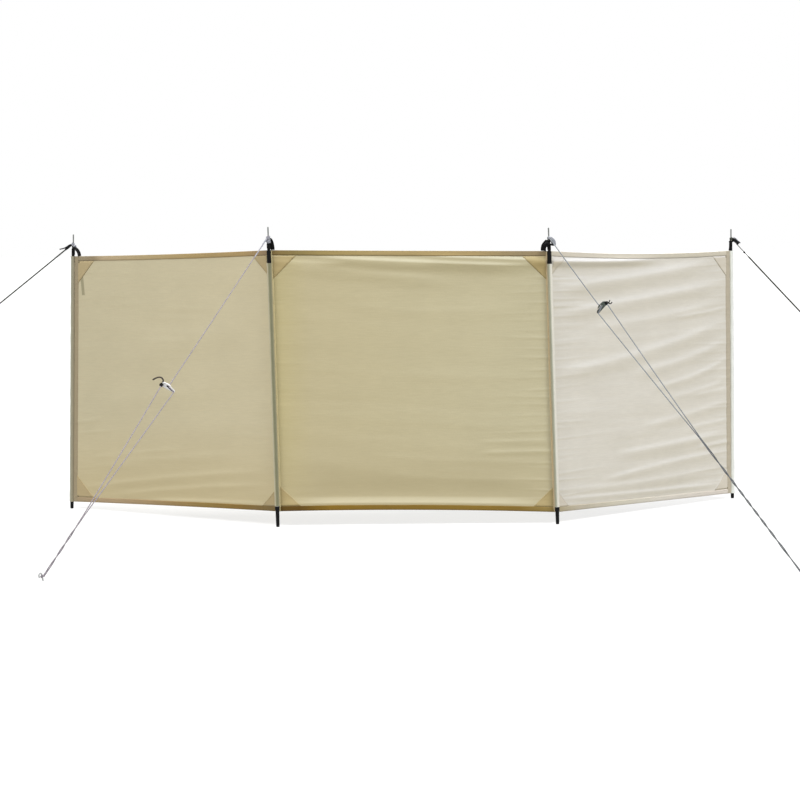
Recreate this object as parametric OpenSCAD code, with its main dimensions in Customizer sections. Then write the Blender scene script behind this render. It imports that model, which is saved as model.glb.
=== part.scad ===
// Camping windscreen: three bays of fabric on four poles, guyed to pegs.
// Units are mm. X runs along the middle bay, Y away from the sheltered side, Z up, ground at Z = 0.

/* [Fabric] */
// Distance between neighbouring poles, the length of each of the three bays
bay_length = 1500; // [1300:50:1700]
// Height of the fabric from its bottom edge to its top edge
fabric_height = 1400; // [1250:10:1450]
// Depth of the hems along the top and bottom edges
hem_depth = 27; // [20:1:36]
// Reach of the middle bay's top patches from the pole along the hem, and from the hem's edge along the pole
patch_side = 170; // [130:2:200]
// The same reach for the patches in the outer corners
patch_outer = 192; // [130:2:200]
// The same reach for the outer bays' patches beside the inner poles
patch_inner = 142; // [120:2:200]
// How much smaller the bottom patches beside the inner poles are than the top ones
patch_less = 18; // [0:2:40]
// Outside width of the tunnels that the poles stand in
sleeve_d = 28; // [27:0.5:32]
// Distance from the top edge down to the open end of the inner poles' tunnels
sleeve_drop = 68; // [50:2:90]
// Width of the webbing straps at the top corners
strap_w = 22; // [16:1:24]

/* [Poles] */
// Outside diameter of the pole tubes
tube_d = 22; // [19:0.5:23]
// Diameter of the steel pins on top of the poles
pin_d = 7.5; // [6:0.5:9]
// Length of the steel pins above the caps
pin_length = 68; // [56:2:100]
// Height of the black caps above the top edge of the fabric
cap_rise = 56; // [40:2:66]
// Height of the top of the plastic feet above the bottom edge of the fabric
foot_rise = 29; // [19:1:32]

/* [Set-out] */
// Angle by which the left bay turns back from the middle bay
fold_left = 35.5; // [20:0.5:50]
// Angle by which the right bay turns back from the middle bay
fold_right = 44; // [20:0.5:50]
// Lean of the outer left pole, in degrees to the right
lean_outer_left = 1.5; // [-1:0.1:2]
// Lean of the inner left pole, in degrees to the left
lean_inner_left = 1.1; // [0:0.1:3]
// Lean of the inner right pole, in degrees to the left
lean_inner_right = 1.5; // [0:0.1:3]
// Lean of the outer right pole, in degrees to the left
lean_outer_right = 0.4; // [-1:0.1:1.5]
// Height of the fabric above the ground at the outer left pole
edge_outer_left = 40; // [30:1:110]
// Height of the fabric above the ground at the inner left pole
edge_inner_left = 82; // [30:1:110]
// Height of the fabric above the ground at the inner right pole
edge_inner_right = 63; // [30:1:110]
// Height of the fabric above the ground at the outer right pole
edge_outer_right = 30; // [26:1:110]

/* [Guys] */
// Diameter of the guy lines
guy_d = 5; // [4:0.5:6]
// Distance of the inner left peg in front of the middle bay
forward_left = 1775; // [1500:5:2200]
// Distance of the inner right peg in front of the middle bay
forward_right = 1860; // [1500:5:2200]
// Distance of the inner pegs to the side of their poles
guy_aside = 1005; // [800:5:1200]
// Distance of the outer pegs from their poles
reach_outer = 2040; // [1600:10:2300]
// Direction of the outer left peg from its pole, as an angle back from the middle bay's line
turn_left = 21.5; // [0:0.5:50]
// Direction of the outer right peg from its pole, as an angle back from the middle bay's line
turn_right = 42.5; // [0:0.5:50]
// Length of the three-cornered sliders that tighten the guy lines
slider_length = 78; // [70:1:86]
// Length of the pegs
peg_length = 230; // [200:5:260]

/* [Hidden] */
$fn = 48;

// Poles are numbered from the left: 1 and 4 are the outer ones, 2 and 3 the inner ones.
LEFT = 0;
CENTRE = 1;
RIGHT = 2;
foot_at = [[-bay_length * cos(fold_left), bay_length * sin(fold_left)],
           [0, 0],
           [bay_length, 0],
           [bay_length + bay_length * cos(fold_right), bay_length * sin(fold_right)]];
lean = [lean_outer_left, -lean_inner_left, -lean_inner_right, -lean_outer_right];
bay_dir = [-fold_left, 0, fold_right];
edge_at = [edge_outer_left, edge_inner_left, edge_inner_right, edge_outer_right];

// Heights along the poles, all from the bottom edge of the fabric
top = fabric_height;
sleeve_top = [top, top - sleeve_drop, top - sleeve_drop, top];
sleeve_foot = foot_rise + 2;
collar_h = 20;
cap_low = top - sleeve_drop;
cap_high = top + cap_rise;

// Small sizes
clear = 0.3;
cloth_t = 1.5;
hem_t = 3;
patch_t = 1;
sleeve_wall = 1.5;
tube_wall = 1.2;
cap_d = tube_d + 1;
neck_d = 15;
spigot_d = pin_d - 1.5;
strap_t = 2;
strap_reach = [44, 27, 36, 17];
foot_tip_r = 9.3;
tip_sink = 3.8;
plug_d = tube_d - 2 * tube_wall - 0.4;
rod_d = 6.5;
peg_tilt = 20;
peg_out = 28;
ring_z = 14;
pin_turns = 3;
knot_r = 5.5;
slider_t = 4;
slot_w = guy_d + 1.6;
loop_length = 52;
loop_r = 5;
slider_at = [0.475, 0.475, 0.23, 0.475];
slider_roll = [55, 55, 80, 55];
side = [-1, -1, 1, 1];
twist_at = [0.84, 0.84, 0.57, 0.84];

// Where the fabric hangs on a pole: behind the inner poles' tunnels, beside the outer ones'
back = sleeve_d / 2 + clear + hem_t / 2;
beside = sleeve_d / 2 + clear;

function unit(v) = v / norm(v);
function on_axis(i, s) = [foot_at[i][0], foot_at[i][1], 0] + (edge_at[i] + s) * [sin(lean[i]), 0, cos(lean[i])];
function along(b) = [cos(bay_dir[b]), sin(bay_dir[b]), 0];
function normal(b) = [sin(bay_dir[b]), -cos(bay_dir[b]), 0];
function start_of(b, s) = b == LEFT ? on_axis(0, s) + along(LEFT) * beside : on_axis(b, s) + [clear, back, 0];
function end_of(b, s) = b == RIGHT ? on_axis(3, s) - along(RIGHT) * beside : on_axis(b + 1, s) + [-clear, back, 0];
// A point on a bay: u from 0 at its left pole to 1 at its right pole, s up the poles, n towards the front
function bay_point(b, u, s, n) = start_of(b, s) * (1 - u) + end_of(b, s) * u + normal(b) * n;
function bay_width(b) = norm(end_of(b, 0) - start_of(b, 0));

// Guy lines
peg_dir = [[-cos(turn_left), sin(turn_left), 0], unit([-guy_aside, -forward_left, 0]),
           unit([guy_aside, -forward_right, 0]), [cos(turn_right), sin(turn_right), 0]];
peg_reach = [reach_outer, norm([guy_aside, forward_left]), norm([guy_aside, forward_right]), reach_outer];
coil_low = cap_high + strap_t + clear;
coil_r = guy_d + 0.2;
function peg_at(i) = [foot_at[i][0], foot_at[i][1], ring_z] + peg_dir[i] * peg_reach[i];
// How far a cord's slanting end stands off a coil, so that its nearest edge just clears it
function end_gap(i) = clear + guy_d / 2 * sin(atan2(coil_low, peg_reach[i]));
function guy_top(i) = on_axis(i, coil_low + guy_d * 1.5) + peg_dir[i] * (pin_d / 2 + coil_r + end_gap(i));
function guy_low(i) = peg_at(i) + [0, 0, guy_d]
    - peg_dir[i] * (rod_d / 2 + coil_r + end_gap(i) - guy_d * tan(peg_tilt) - 0.4);
function guy_dir(i) = unit(guy_low(i) - guy_top(i));
function guy_point(i, t) = guy_top(i) * (1 - t) + guy_low(i) * t;
function level(i) = unit([peg_dir[i][1], -peg_dir[i][0], 0]) * side[i];
function raised(i) = cross(level(i), guy_dir(i)) * side[i];
function slider_long(i) = level(i) * cos(slider_roll[i]) - raised(i) * sin(slider_roll[i]);
function slider_wide(i) = -cross(guy_dir(i), slider_long(i)) * side[i];
// A point on a slider: x from its wide end to its narrow one, y across towards the slot, d down the line
function slider_point(i, x, y, d) = guy_point(i, slider_at[i])
    + (slider_long(i) * x + slider_wide(i) * y) * slider_length + guy_dir(i) * d;

module on_pole(i) {
    translate(on_axis(i, 0)) rotate([0, lean[i], 0]) children();
}

// The turns of a cord round an upright pin or rod, as one collar
module turns(d, count) {
    difference() {
        cylinder(h = count * guy_d, d = d + 0.4 + 2 * guy_d);
        translate([0, 0, -1]) cylinder(h = count * guy_d + 2, d = d + 0.4);
    }
}

// A cord through a row of points, with a radius at each of them
module cord(points, radii) {
    n = len(points) - 1;
    sides = 8;
    function dir(k) = unit(points[min(k + 1, n)] - points[max(k - 1, 0)]);
    function across(v) = unit(cross(v, [0, 0, 1]));
    pts = [for (k = [0:n]) for (a = [0:sides - 1])
        let (v = dir(k), x = across(v), y = cross(v, x))
        points[k] + radii[k] * (x * cos(360 * a / sides) + y * sin(360 * a / sides))];
    walls = [for (k = [0:n - 1]) for (a = [0:sides - 1])
        let (b = (a + 1) % sides) each
        [[k * sides + a, (k + 1) * sides + b, k * sides + b], [k * sides + a, (k + 1) * sides + a, (k + 1) * sides + b]]];
    first = [for (a = [0:sides - 1]) a];
    last = [for (a = [sides - 1:-1:0]) n * sides + a];
    polyhedron(points = pts, faces = concat(walls, [first], [last]));
}

// A thin sheet on a bay, from u0 to u1 along it and s0 to s1 up it
module cloth(b, u0, u1, s0, s1, n, t, nu, ns) {
    m = ns + 1;
    half = (nu + 1) * m;
    pts = [for (f = [1, -1]) for (i = [0:nu]) for (j = [0:ns])
        bay_point(b, u0 + (u1 - u0) * i / nu, s0 + (s1 - s0) * j / ns, n + f * t / 2)];
    front = [for (i = [0:nu - 1]) for (j = [0:ns - 1]) each
        [[i * m + j, (i + 1) * m + j + 1, (i + 1) * m + j], [i * m + j, i * m + j + 1, (i + 1) * m + j + 1]]];
    rear = [for (f = front) [f[2] + half, f[1] + half, f[0] + half]];
    rim = concat([for (i = [0:nu - 1]) [i * m, (i + 1) * m]],
                 [for (j = [0:ns - 1]) [nu * m + j, nu * m + j + 1]],
                 [for (i = [nu:-1:1]) [i * m + ns, (i - 1) * m + ns]],
                 [for (j = [ns:-1:1]) [j, j - 1]]);
    edge = [for (e = rim) each [[e[0], e[1], e[1] + half], [e[0], e[1] + half, e[0] + half]]];
    polyhedron(points = pts, faces = concat(front, rear, edge));
}

// A three-cornered patch in a corner of a bay: right and up are 0 or 1
module patch(b, right, up) {
    n = cloth_t / 2 + clear + patch_t / 2;
    at_end = (b == LEFT && !right) || (b == RIGHT && right);
    reach = at_end ? patch_outer : b == CENTRE ? patch_side : patch_inner;
    leg = reach - (up || at_end ? 0 : patch_less) - hem_depth - sleeve_d / 2 - 2;
    inward = (right ? -1 : 1) / bay_width(b);
    u = right + (at_end ? 1 : sleeve_d / 2 + 2) * inward;
    s = up ? top - hem_depth - 2 * clear : hem_depth + 2 * clear;
    flat = [[u, s], [u + leg * inward, s], [u, s + leg * (up ? -1 : 1)]];
    pts = [for (f = [1, -1]) for (p = flat) bay_point(b, p[0], p[1], n + f * patch_t / 2)];
    turned = (right + up) % 2 == 1;
    faces = [[0, 1, 2], [5, 4, 3], [0, 3, 4], [0, 4, 1], [1, 4, 5], [1, 5, 2], [2, 5, 3], [2, 3, 0]];
    polyhedron(points = pts, faces = turned ? faces : [for (f = faces) [f[2], f[1], f[0]]]);
}

module panel(b) {
    color([0.76, 0.71, 0.58])
        cloth(b, 0, 1, hem_depth + clear, top - hem_depth - clear, 0, cloth_t, 10, 10);
}

module hems(b) {
    color([0.60, 0.47, 0.30]) {
        cloth(b, 0, 1, 0, hem_depth, 0, hem_t, 10, 1);
        cloth(b, 0, 1, top - hem_depth, top, 0, hem_t, 10, 1);
    }
}

module patches(b) {
    color([0.70, 0.64, 0.50])
        for (right = [0, 1]) for (up = [0, 1]) patch(b, right, up);
}

module sleeve(i) {
    low = i == 0 || i == 3 ? 0 : sleeve_foot;
    color([0.52, 0.50, 0.42]) on_pole(i) translate([0, 0, low]) difference() {
        cylinder(h = sleeve_top[i] - low, d = sleeve_d);
        translate([0, 0, -1]) cylinder(h = sleeve_top[i] - low + 2, d = sleeve_d - 2 * sleeve_wall);
    }
}

module pole(i) {
    color([0.62, 0.63, 0.64]) on_pole(i) translate([0, 0, foot_rise]) difference() {
        cylinder(h = cap_low - foot_rise, d = tube_d);
        translate([0, 0, -1]) cylinder(h = cap_low - foot_rise + 2, d = tube_d - 2 * tube_wall);
    }
}

// A tapered foot with a collar; its rounded tip is worn level where it stands
module foot(i) {
    low = foot_tip_r - tip_sink - edge_at[i];
    color([0.05, 0.05, 0.06]) difference() {
        on_pole(i) {
            translate([0, 0, low]) sphere(r = foot_tip_r);
            translate([0, 0, low]) cylinder(h = foot_rise - collar_h - low, r1 = foot_tip_r, d2 = tube_d - 1);
            translate([0, 0, foot_rise - collar_h]) cylinder(h = collar_h, d = tube_d + 3);
            translate([0, 0, low]) cylinder(h = foot_rise + 40 - low, d = plug_d - 3);
            translate([0, 0, foot_rise - 1]) cylinder(h = 36, d = plug_d);
        }
        translate([foot_at[i][0] - 40, foot_at[i][1] - 40, -80]) cube(80);
    }
}

// A cap that plugs the tube, with a narrow neck that carries the pin
module cap(i) {
    color([0.05, 0.05, 0.06]) on_pole(i) difference() {
        union() {
            translate([0, 0, cap_low - 40]) cylinder(h = 41, d = plug_d);
            translate([0, 0, cap_low]) cylinder(h = top - cap_low, d = cap_d);
            translate([0, 0, cap_low]) cylinder(h = cap_high - cap_low, d = neck_d);
        }
        translate([0, 0, cap_high - 40]) cylinder(h = 41, d = spigot_d + 0.4);
    }
}

module pin(i) {
    tip = 2;
    color([0.72, 0.72, 0.73]) on_pole(i) translate([0, 0, cap_high]) {
        translate([0, 0, -38]) cylinder(h = 39, d = spigot_d);
        cylinder(h = pin_length - tip, d = pin_d);
        translate([0, 0, pin_length - tip]) cylinder(h = tip, d1 = pin_d, d2 = pin_d - 2 * tip);
    }
}

// A webbing strap that arches from the top edge of the fabric to an eyelet on the pin
module strap(i) {
    aside = sqrt(strap_reach[i] * strap_reach[i] - back * back);
    towards = [-fold_left, atan2(back, aside), atan2(back, -aside), 180 + fold_right][i];
    color([0.08, 0.08, 0.09]) on_pole(i) rotate([0, 0, towards]) {
        translate([0, 0, cap_high]) linear_extrude(strap_t) difference() {
            union() {
                circle(d = strap_w);
                translate([0, -strap_w / 2]) square([strap_reach[i], strap_w]);
            }
            circle(d = pin_d + 1);
        }
        translate([strap_reach[i] - strap_t, -strap_w / 2, top + clear])
            cube([strap_t, strap_w, cap_high - top - clear + strap_t]);
    }
}

// A loose strap that hangs down behind the left bay from its top corner
module tie_strap() {
    color([0.55, 0.54, 0.50])
        cloth(LEFT, 0.025, 0.038, top - 250, top - hem_depth - 2, -cloth_t / 2 - 1.3, 1.2, 1, 4);
}

module on_peg(i) {
    translate(peg_at(i)) rotate([0, 0, atan2(peg_dir[i][1], peg_dir[i][0])]) rotate([0, peg_tilt, 0]) children();
}

// The line is looped to the pin, passes the slider's slot, and comes back to its wide end from the peg
module guy(i) {
    r = guy_d / 2;
    off = slider_t / 2 + r + clear;
    knot_at = slider_point(i, -0.36, -0.12, -slider_t / 2 - knot_r - clear);
    meet = guy_point(i, twist_at[i]);
    step = level(i) * (r + clear);
    d = guy_dir(i);
    color([0.55, 0.53, 0.56]) {
        on_pole(i) translate([0, 0, coil_low]) turns(pin_d, pin_turns);
        cord([guy_top(i), guy_top(i) + d * 6, guy_top(i) + d * (loop_length - 8), guy_top(i) + d * loop_length,
              slider_point(i, -0.05, 0.18, -off), slider_point(i, -0.05, 0.18, off),
              slider_point(i, 0.45, 0.06, off), meet + step, guy_low(i) + step],
             [r, loop_r, loop_r, r, r, r, r, r, r]);
        cord([knot_at - d * knot_r, knot_at - d * 2, knot_at + d * 2, knot_at + d * knot_r,
              slider_point(i, -0.36, -0.12, off), meet - step, guy_low(i) - step],
             [r, knot_r, knot_r, r, r, r, r]);
        on_peg(i) turns(rod_d, 2);
    }
}

// A three-cornered plate with a slot along one edge and a hole at its wide end
module slider(i) {
    e = slider_long(i);
    w = slider_wide(i);
    z = cross(e, w);
    c = slider_point(i, 0, 0, 0);
    size = slider_length;
    color(i < 2 ? [0.85, 0.85, 0.84] : [0.22, 0.25, 0.23])
        multmatrix([[e[0], w[0], z[0], c[0]], [e[1], w[1], z[1], c[1]], [e[2], w[2], z[2], c[2]], [0, 0, 0, 1]])
            translate([0, 0, -slider_t / 2]) linear_extrude(slider_t) difference() {
                polygon(size * [[-0.38, -0.30], [-0.50, -0.02], [-0.44, 0.16], [-0.14, 0.29], [0.02, 0.28],
                                [0.48, 0.11], [0.50, 0.02], [0.44, -0.05]]);
                translate(size * [-0.36, -0.12]) circle(d = guy_d + 1);
                translate(size * [-0.22, 0.18] - [0, slot_w / 2]) square([size * 0.46, slot_w]);
            }
}

// A round peg with a hooked head, driven in with its head leaning away from the pole
module peg(i) {
    hook_r = 10;
    bend = peg_out - hook_r;
    tip = 14;
    color([0.66, 0.66, 0.66]) on_peg(i) {
        translate([0, 0, bend - peg_length + tip]) cylinder(h = peg_length - tip, d = rod_d);
        translate([0, 0, bend - peg_length]) cylinder(h = tip, d1 = 1.5, d2 = rod_d);
        translate([hook_r, 0, bend]) rotate([90, 0, 0]) rotate_extrude(angle = 180)
            translate([hook_r, 0]) circle(d = rod_d, $fn = 24);
        translate([2 * hook_r, 0, bend - 8]) cylinder(h = 8, d = rod_d);
    }
}

panel(LEFT);  // panel_left
panel(CENTRE);  // panel_centre
panel(RIGHT);  // panel_right
hems(LEFT);  // hems_left
hems(CENTRE);  // hems_centre
hems(RIGHT);  // hems_right
patches(LEFT);  // patches_left
patches(CENTRE);  // patches_centre
patches(RIGHT);  // patches_right
sleeve(0);  // sleeve_1
sleeve(1);  // sleeve_2
sleeve(2);  // sleeve_3
sleeve(3);  // sleeve_4
pole(0);  // pole_1
pole(1);  // pole_2
pole(2);  // pole_3
pole(3);  // pole_4
foot(0);  // foot_1
foot(1);  // foot_2
foot(2);  // foot_3
foot(3);  // foot_4
cap(0);  // cap_1
cap(1);  // cap_2
cap(2);  // cap_3
cap(3);  // cap_4
pin(0);  // pin_1
pin(1);  // pin_2
pin(2);  // pin_3
pin(3);  // pin_4
strap(0);  // strap_1
strap(1);  // strap_2
strap(2);  // strap_3
strap(3);  // strap_4
tie_strap();
guy(0);  // guy_1
guy(1);  // guy_2
guy(2);  // guy_3
guy(3);  // guy_4
slider(0);  // slider_1
slider(1);  // slider_2
slider(2);  // slider_3
slider(3);  // slider_4
peg(0);  // peg_1
peg(1);  // peg_2
peg(2);  // peg_3
peg(3);  // peg_4
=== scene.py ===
"""Looks of a camping windscreen: fabric bays, hems, patches, tunnels, webbing, guy lines and hardware.

Everything is in metres in the CAD frame: X along the middle bay, Y away from the front, Z up, ground at 0.
Poles are numbered 0 to 3 from the left, bays 0 to 2. Points on a bay are (u, s): u runs from its left pole
to its right pole, s is the height up the poles from the bottom edge of the fabric.
"""
import math

import bpy
import numpy as np
from mathutils import Matrix, Vector


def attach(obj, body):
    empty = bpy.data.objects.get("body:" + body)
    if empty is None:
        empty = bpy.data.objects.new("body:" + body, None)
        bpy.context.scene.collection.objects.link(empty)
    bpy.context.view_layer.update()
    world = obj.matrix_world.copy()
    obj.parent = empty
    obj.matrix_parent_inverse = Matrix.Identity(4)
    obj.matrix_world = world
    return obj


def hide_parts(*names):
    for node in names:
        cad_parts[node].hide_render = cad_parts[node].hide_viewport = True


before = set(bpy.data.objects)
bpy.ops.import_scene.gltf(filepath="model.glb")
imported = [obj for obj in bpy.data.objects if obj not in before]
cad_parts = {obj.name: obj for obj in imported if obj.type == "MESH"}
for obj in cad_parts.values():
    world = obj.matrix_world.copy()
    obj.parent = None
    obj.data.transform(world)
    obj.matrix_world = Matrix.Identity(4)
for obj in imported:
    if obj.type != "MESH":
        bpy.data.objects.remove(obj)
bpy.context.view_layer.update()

# ---------------------------------------------------------------- sizes, as in the part's source
MM = 0.001
TOP = 1400 * MM                           # height of the fabric
HEM = 27 * MM
PATCH_OUTER, PATCH_MIDDLE, PATCH_INNER = 192 * MM, 170 * MM, 142 * MM
PATCH_LESS = 18 * MM                      # how much smaller the bottom patches by the inner poles are
SLEEVE_R = 14 * MM
SLEEVE_FOOT, SLEEVE_TOP = 31 * MM, 1332 * MM
CAP_HIGH = 1456 * MM
EDGE_AT = [40 * MM, 82 * MM, 63 * MM, 30 * MM]         # where the fabric begins on each pole
PIN_R = 3.75 * MM
CORD_R = 2.5 * MM
COIL_LOW = 1458.3 * MM                    # where the turns of cord on the pins begin
CLEAR = 0.3 * MM
BACK = 15.8 * MM                          # the inner poles stand this far in front of the fabric
BESIDE = 14.3 * MM                        # the fabric begins this far beside the outer poles
STRAP_REACH = [44 * MM, 27 * MM, 36 * MM, 17 * MM]
SLIDER, SLIDER_T = 78 * MM, 4 * MM        # length and thickness
SLIDER_AT = [0.475, 0.475, 0.23, 0.475]   # shares of the guy lines
SLIDER_ROLL = [55, 55, 80, 55]            # degrees about them
LOOP = 52 * MM                            # the thick whipped start of each guy line
MEET = [0.84, 0.84, 0.63, 0.84]           # where their two strands meet: line 3's lower than in the source
ROD_R, PEG_TILT = 3.25 * MM, 20           # the pegs' rods, and their lean in degrees
SIDE = [-1, -1, 1, 1]                     # which way from the middle each pole is
LEFT, CENTRE, RIGHT = 0, 1, 2
BAYS = ["left", "centre", "right"]


def v3(*c):
    return np.array(c, float)


ASIDE, UPWARD = v3(1, 0, 0), v3(0, 0, 1)


def unit(v):
    return v / np.linalg.norm(v, axis=-1, keepdims=True)


def smooth(x, low, high):
    """0 below low, 1 above high, and an even curve between."""
    t = np.clip((x - low) / (high - low), 0, 1)
    return t * t * (3 - 2 * t)


# ---------------------------------------------------------------- the poles and the bays, read from the CAD
def read_pole(i):
    """The point where a pole's axis meets the ground, and the axis, from the two ends of its tube."""
    co = np.array([v.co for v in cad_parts[f"pole_{i + 1}"].data.vertices], float)
    co = np.unique(co.round(6), axis=0)
    upper = co[:, 2] > co[:, 2].mean()
    low, high = co[~upper].mean(0), co[upper].mean(0)
    d = unit(high - low)
    return low - d * low[2] / d[2], d


poles = [read_pole(i) for i in range(4)]
foot_at = [p for p, d in poles]


def on_axis(i, s):
    """Points up a pole, s from the bottom edge of the fabric there."""
    p, d = poles[i]
    return p + np.multiply.outer(np.asarray(s, float) + EDGE_AT[i], d)


along = [unit((foot_at[b + 1] - foot_at[b]) * v3(1, 1, 0)) for b in range(3)]
front = [v3(a[1], -a[0], 0) for a in along]


def bay_ends(b, s):
    """The points of a bay's two side edges at the height s."""
    start = on_axis(0, s) + along[0] * BESIDE if b == LEFT else on_axis(b, s) + v3(CLEAR, BACK, 0)
    end = on_axis(3, s) - along[2] * BESIDE if b == RIGHT else on_axis(b + 1, s) + v3(-CLEAR, BACK, 0)
    return start, end


WIDTH = [float(np.linalg.norm(np.subtract(*bay_ends(b, 0.8)))) for b in range(3)]

# ---------------------------------------------------------------- the fabric's folds
# Each fold is a soft ridge, or a trough where its height is negative: its path through three points, its
# half width and its height in mm. A pair in place of the half width gives the upper and the lower flank.
# The points are hundredths of the bay's length from its left end, and thousandths of its height from below.
FOLDS = {
    LEFT: [
        ((0, 50), (50, 112), (100, 155), 24, 2.3),
        ((15, 25), (50, 65), (100, 100), 20, 1.9),
        ((35, 12), (70, 22), (102, 22), 18, 3.6),
        ((5, 140), (40, 180), (90, 215), 34, 1.6),
        ((-10, 278), (6, 285), (24, 298), 13, 0.9),
        ((-10, 322), (4, 330), (16, 340), 15, 0.8),
        ((5, 175), (30, 205), (62, 235), 20, 1.2),
        ((10, 400), (40, 430), (80, 480), 60, 1.6),
        ((30, 620), (60, 660), (95, 720), 90, 2.0),
    ],
    CENTRE: [
        ((12, 974), (55, 954), (102, 940), (14, 42), 11.0),
        ((50, 979), (85, 968), (125, 955), (12, 32), 10.5),
        ((-2, 945), (30, 915), (70, 880), 32, 3.4),
        ((-5, 965), (10, 952), (30, 950), 18, 2.6),
        ((-2, 55), (50, 54), (106, 57), (100, 28), -11.5),
        ((-2, 28), (50, 28), (102, 28), (8, 10), 2.3),
        ((30, 215), (65, 195), (102, 195), 26, 1.0),
        ((35, 140), (70, 120), (102, 120), 30, 1.2),
        ((40, 540), (75, 520), (102, 530), 36, 1.4),
        ((20, 790), (55, 770), (95, 775), 40, 1.4),
        ((72, 226), (88, 232), (102, 236), 14, 1.9),
        ((72, 268), (88, 274), (102, 278), 13, 1.4),
    ],
    RIGHT: [
        ((-35, 955), (15, 965), (64, 978), 20, 15.0),
        ((-5, 848), (45, 905), (98, 965), 40, 8.0),
        ((-5, 746), (45, 812), (103, 874), 36, 6.2),
        ((15, 700), (55, 735), (102, 805), 34, 3.6),
        ((-5, 522), (50, 600), (103, 724), 38, 6.0),
        ((66, 735), (86, 754), (103, 775), 13, 1.9),
        ((40, 515), (75, 568), (103, 648), 32, 4.6),
        ((50, 455), (78, 495), (103, 577), 22, 3.2),
        ((60, 410), (80, 433), (103, 487), 22, 2.4),
        ((76, 412), (90, 427), (103, 442), 15, 2.0),
        ((45, 300), (75, 340), (103, 388), 28, 3.6),
        ((72, 282), (88, 297), (103, 312), 18, 2.4),
        ((30, 200), (70, 228), (103, 263), 28, 4.8),
        ((78, 202), (90, 211), (103, 222), 15, 2.4),
        ((22, 100), (65, 152), (103, 180), 22, 3.8),
        ((-5, 88), (40, 80), (103, 126), 24, 2.8),
        ((-5, 47), (55, 43), (103, 45), 16, 3.0),
        ((-5, 888), (6, 893), (22, 903), 11, 1.8),
        ((-5, 790), (6, 797), (20, 806), 12, 1.5),
        ((-5, 706), (6, 712), (20, 718), 12, 1.2),
        ((-5, 652), (7, 657), (22, 668), 13, 1.1),
    ],
}
# Gathers along the side seams: end of the bay (0 or 1), how many, how far they run in, height in mm
GATHERS = {
    LEFT: [(0, 26, 0.10, 0.6), (1, 22, 0.08, 0.4)],
    CENTRE: [(1, 28, 0.15, 1.5), (0, 24, 0.10, 0.6)],
    RIGHT: [(0, 30, 0.16, 1.3), (1, 30, 0.16, 1.3)],
}
BELLY = {LEFT: 6, CENTRE: 4, RIGHT: 8}    # how far each bay swells to the front, in mm
SAG = {LEFT: 5, CENTRE: 1, RIGHT: 16}     # how far each top edge sags between its poles, in mm
ARCH = {LEFT: 3, CENTRE: 10, RIGHT: 0}    # how far each bottom edge is drawn up between its poles, in mm


def fold(u, v, path, half, height):
    """One fold across the cloth, as a height over (u, v). It fades out towards both ends of its path."""
    us, vs = np.array(path).T / [[100], [1000]]
    above, below = half if isinstance(half, tuple) else (0.75 * half, 1.2 * half)
    off = (v - np.polyval(np.polyfit(us, vs, 2), u)) * TOP / MM
    run = np.clip((u - us[0]) / (us[2] - us[0]), 0, 1)
    fade = smooth(run, 0, 0.22) * smooth(-run, -1, -0.72)
    side = np.where(off > 0, off / above, off / below)
    return height * fade * np.exp(-side * side)


def ripple(u, v, b):
    """Shallow unevenness all over the cloth, mostly drawn out along the bay."""
    rng = np.random.default_rng(40 + b)
    h = np.zeros(np.broadcast(u, v).shape)
    for lowest, highest, size in [(2.5, 11, 0.4)] * 9 + [(14, 34, 0.09)] * 9:
        fu, fv = rng.uniform(-2.2, 2.2), rng.uniform(lowest, highest)
        patches = rng.uniform(0.5, 1.4) * u + rng.uniform(0.5, 2) * v + rng.uniform()
        patchy = 0.5 + 0.5 * np.sin(math.tau * patches)
        h = h + np.sin(math.tau * (fu * u + fv * v + rng.uniform())) * patchy * size * rng.uniform(0.5, 1.2)
    return h


def relief(b, u, v):
    """How far the cloth stands off the flat bay towards the front, in mm."""
    h = ripple(u, v, b) * (1.0 if b == RIGHT else 0.6)
    for *path, half, height in FOLDS[b]:
        h = h + fold(u, v, path, half, height)
    rng = np.random.default_rng(7 + b)
    for end, count, reach, height in GATHERS[b]:
        for k in range(count):
            at = (k + rng.uniform(0.2, 0.8)) / count
            slope, run = rng.uniform(-0.03, 0.08), reach * rng.uniform(0.35, 1.3)
            inward = u if end == 0 else 1 - u
            off = (v - at - slope * (inward if end == 0 else -inward)) * TOP / MM / rng.uniform(5, 9)
            h = h + height * rng.uniform(0.3, 1) * np.exp(-off * off) * np.exp(-(inward / run) ** 2)
    h = h + BELLY[b] * np.sin(math.pi * u) * np.sin(math.pi * np.clip(v, 0, 1))
    held = smooth(u, 0, 0.012) * smooth(-u, -1, -0.988)
    return h * held


def cloth_point(b, u, s, lift=0.0):
    """Points on a bay's cloth; lift is in metres towards the front."""
    u, s = np.broadcast_arrays(np.asarray(u, float), np.asarray(s, float))
    start, end = bay_ends(b, s)
    v = s / TOP
    flat = start * (1 - u)[..., None] + end * u[..., None]
    drop = 4 * u * (1 - u) * MM * (SAG[b] * smooth(v, 0.55, 1) - ARCH[b] * smooth(-v, -0.3, 0))
    stand = relief(b, u, v) * MM + lift
    return flat + stand[..., None] * front[b] - drop[..., None] * UPWARD


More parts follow.
